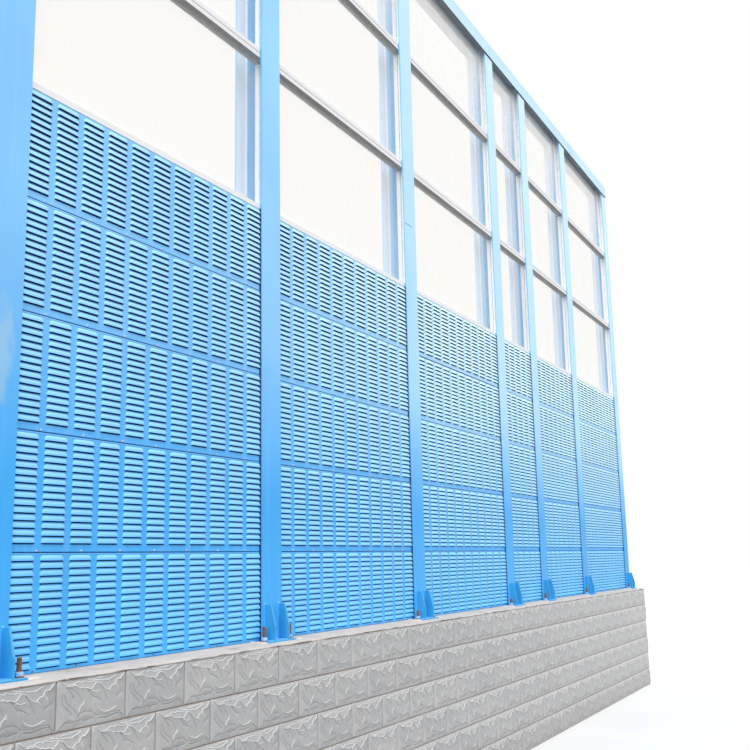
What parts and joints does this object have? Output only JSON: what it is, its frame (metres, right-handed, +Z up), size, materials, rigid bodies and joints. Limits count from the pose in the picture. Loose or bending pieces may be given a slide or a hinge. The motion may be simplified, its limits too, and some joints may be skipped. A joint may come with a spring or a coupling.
{
  "type": "roadside noise barrier section",
  "caption": "Roadside noise barrier: blue louvred steel panels and clear framed panes slotted between H-section posts, on a low wall faced with moulded stone tiles.",
  "frame": {"origin": "middle of the wall's underside, at ground level", "axes": "+X along the wall, to the right when seen from the road; -Y towards the road; +Z up"},
  "size_m": [11, 0.5, 6.716],
  "materials": {
    "tiled_stone": "moulded split-face tile, matt",
    "mortar": "trowelled mortar, matt",
    "post_paint": "satin blue paint",
    "panel_paint": "satin blue powder coat",
    "frame_aluminium": "satin white-silver",
    "clear_pane": "clear, smooth"
  },
  "bodies": {
    "root": {"base_wall_left": "tiled_stone", "base_wall_right": "tiled_stone", "grout_pads": "mortar", "mortar_coping": "mortar", "post_1": "post_paint", "post_foot_1": "post_paint", "post_2": "post_paint", "post_foot_2": "post_paint", "post_3": "post_paint", "post_foot_3": "post_paint", "post_4": "post_paint", "post_foot_4": "post_paint", "post_5": "post_paint", "post_foot_5": "post_paint", "post_6": "post_paint", "post_foot_6": "post_paint", "post_7": "post_paint", "post_foot_7": "post_paint", "louvred_panels_1": "panel_paint", "glazing_frames_1": "frame_aluminium", "panes_1": "clear_pane", "top_rail_1": "post_paint", "louvred_panels_2": "panel_paint", "glazing_frames_2": "frame_aluminium", "panes_2": "clear_pane", "top_rail_2": "post_paint", "louvred_panels_3": "panel_paint", "glazing_frames_3": "frame_aluminium", "panes_3": "clear_pane", "top_rail_3": "post_paint", "louvred_panels_4": "panel_paint", "glazing_frames_4": "frame_aluminium", "panes_4": "clear_pane", "top_rail_4": "post_paint", "louvred_panels_5": "panel_paint", "glazing_frames_5": "frame_aluminium", "panes_5": "clear_pane", "top_rail_5": "post_paint", "louvred_panels_6": "panel_paint", "glazing_frames_6": "frame_aluminium", "panes_6": "clear_pane", "top_rail_6": "post_paint"}
  },
  "joints": []
}
